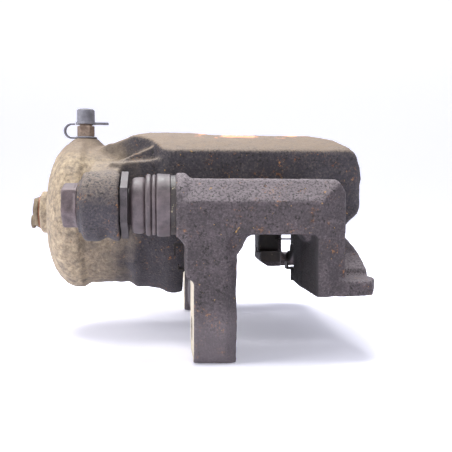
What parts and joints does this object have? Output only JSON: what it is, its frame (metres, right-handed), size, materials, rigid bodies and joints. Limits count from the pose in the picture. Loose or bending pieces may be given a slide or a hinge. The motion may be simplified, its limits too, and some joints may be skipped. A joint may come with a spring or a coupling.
{
  "type": "brake caliper",
  "caption": "Floating brake caliper with a domed cylinder, a bridge with fingers, guide pins in rubber boots, and the carrier bracket that it slides on.",
  "frame": {"origin": "midway between the two knuckle bolt holes, on the machined face that meets the knuckle", "axes": "+X outboard along the wheel axle, +Y along the line of the guide pins, +Z outwards from the axle; the knuckle face looks along -X"},
  "size_m": [0.1671, 0.186, 0.1182],
  "materials": {
    "bracket_iron": "bare sand-cast iron, weathered, with rust specks",
    "housing_iron": "sand-cast iron under dry road dust",
    "clip_steel": "spring steel sheet, dirty",
    "boot_rubber": "moulded rubber, dusty",
    "ring_steel": "machined ring, greasy",
    "pin_steel": "oxidised steel",
    "bolt_steel": "oxidised steel",
    "seal_rubber": "moulded rubber",
    "piston_steel": "ground and plated",
    "union_steel": "dusty steel",
    "copper": "soft copper washer",
    "bleeder_steel": "dull plated steel",
    "cap_rubber": "moulded rubber"
  },
  "bodies": {
    "bracket": {"carrier_bracket": "bracket_iron", "pad_clip_near_inner": "clip_steel", "pad_clip_far_inner": "clip_steel", "pad_clip_near_outer": "clip_steel", "pad_clip_far_outer": "clip_steel", "pin_boot_near": "boot_rubber", "pin_boot_far": "boot_rubber", "pin_boot_rings": "ring_steel"},
    "caliper": {"caliper_housing": "housing_iron", "guide_pin_near": "pin_steel", "guide_pin_far": "pin_steel", "pin_bush": "seal_rubber", "pin_bolt_near": "bolt_steel", "pin_bolt_far": "bolt_steel", "piston_seal": "seal_rubber", "piston_boot": "seal_rubber", "piston_boot_ring": "ring_steel", "union_bolt": "union_steel", "union_washer": "copper"},
    "piston": {"piston": "piston_steel"},
    "bleeder": {"bleeder_screw": "bleeder_steel", "cap_strap": "cap_rubber"},
    "cap": {"bleeder_cap": "cap_rubber"}
  },
  "joints": [
    {"name": "caliper_slide", "type": "slide", "parent": "bracket", "child": "caliper", "axis": [1, 0, 0], "range_m": [-0.012, 0.0015], "deforming": ["pin_boot_near", "pin_boot_far"]},
    {"name": "piston_slide", "type": "slide", "parent": "caliper", "child": "piston", "axis": [1, 0, 0], "range_m": [-0.004, 0.018], "deforming": ["piston_boot"]},
    {"name": "bleeder_turn", "type": "hinge", "parent": "caliper", "child": "bleeder", "pos_m": [-0.0542, 0, 0.0903], "axis": [0, 0, 1], "range_deg": [0, 360]},
    {"name": "cap_pull", "type": "slide", "parent": "bleeder", "child": "cap", "axis": [0, 0, 1], "range_m": [0, 0.012], "deforming": ["cap_strap"]}
  ]
}
